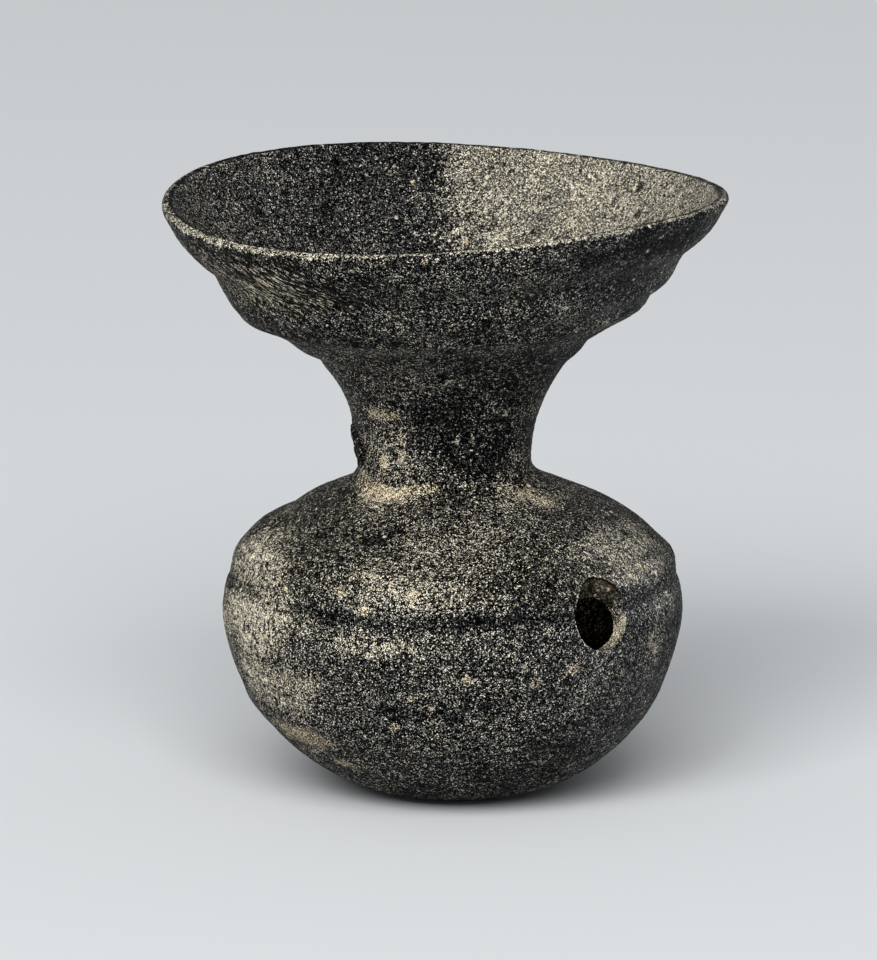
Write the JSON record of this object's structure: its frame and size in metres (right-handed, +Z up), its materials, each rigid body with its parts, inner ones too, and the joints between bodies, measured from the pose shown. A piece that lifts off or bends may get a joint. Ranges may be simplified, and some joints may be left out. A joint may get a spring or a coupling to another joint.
{
  "type": "stoneware jar",
  "caption": "Round-bodied unglazed stoneware jar with a narrow neck, a wide flared mouth and a round spout hole in the belly.",
  "frame": {"origin": "on the axis of the body, in the plane of the standing face", "axes": "+Z up along the body's axis, the spout hole faces -Y, +X to the right of the hole"},
  "size_m": [0.1294, 0.1293, 0.1396],
  "materials": {
    "stoneware_base": "matte",
    "stoneware_body": "matte",
    "stoneware_shoulder": "matte",
    "luting_clay": "matte",
    "stoneware_neck": "matte",
    "stoneware_mouth": "matte",
    "kiln_crust": "matte"
  },
  "bodies": {
    "root": {"base_bowl": "stoneware_base", "lower_wall": "stoneware_body", "belly_band": "stoneware_body", "shoulder": "stoneware_shoulder", "neck_luting_coil": "luting_clay", "neck": "stoneware_neck", "mouth_flare": "stoneware_neck", "mouth_bowl": "stoneware_mouth", "neck_kiln_crust": "kiln_crust", "shoulder_kiln_crust": "kiln_crust"}
  },
  "joints": []
}
